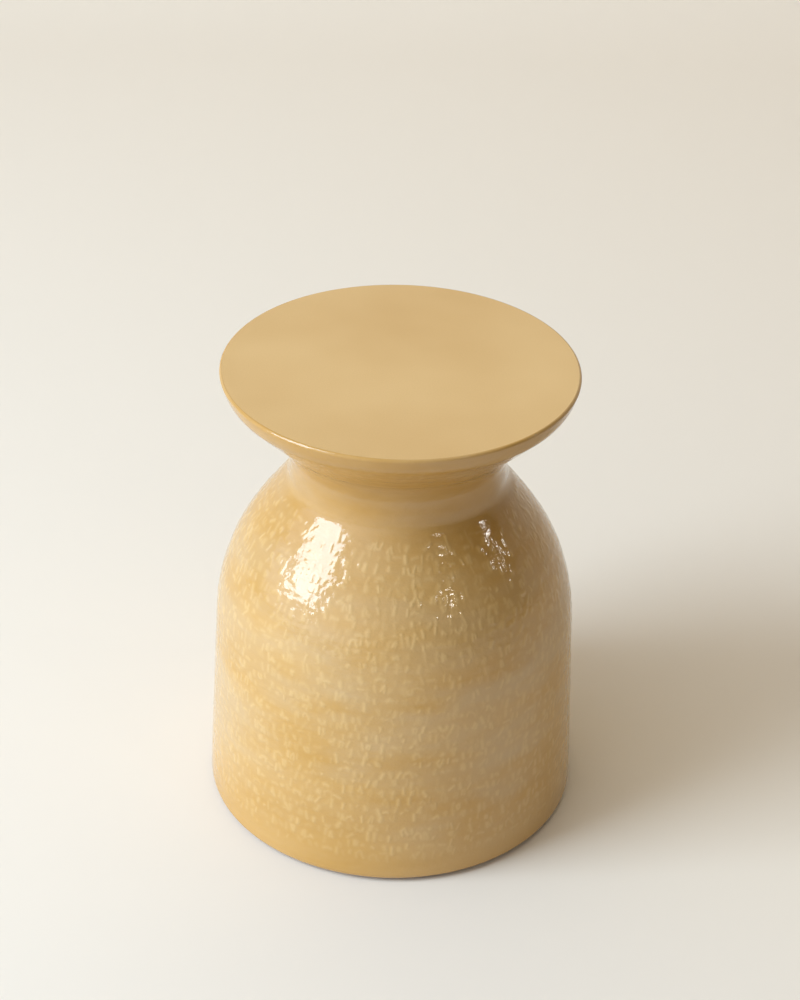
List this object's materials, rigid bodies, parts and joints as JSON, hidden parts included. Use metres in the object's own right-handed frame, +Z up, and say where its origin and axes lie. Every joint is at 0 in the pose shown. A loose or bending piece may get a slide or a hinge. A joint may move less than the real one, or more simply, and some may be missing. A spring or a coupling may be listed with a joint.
{
  "type": "ceramic garden stool",
  "caption": "Hollow round ceramic stool: flat matte seat on a flared dish, narrow waist, domed shoulder and a nearly straight glazed drum.",
  "frame": {"origin": "middle of the foot on the floor, under the felt pads", "axes": "+Z up along the stool's axis, from the floor to the seat; X and Y are free, with the pads at 45 degrees to them"},
  "size_m": [0.36, 0.36, 0.46],
  "materials": {
    "matte_glaze": "matte, smooth to the touch",
    "gloss_glaze": "glossy ochre glaze over small raised marks",
    "bare_clay": "unglazed buff stoneware",
    "felt": "pressed wool felt"
  },
  "bodies": {
    "root": {"seat_plate": "matte_glaze", "seat_shell": "gloss_glaze", "body_shell": "gloss_glaze", "base_floor": "bare_clay", "seat_joint_coil": "bare_clay", "neck_joint_coil": "bare_clay", "base_joint_coil": "bare_clay", "floor_pad_1": "felt", "floor_pad_2": "felt", "floor_pad_3": "felt", "floor_pad_4": "felt"}
  },
  "joints": []
}
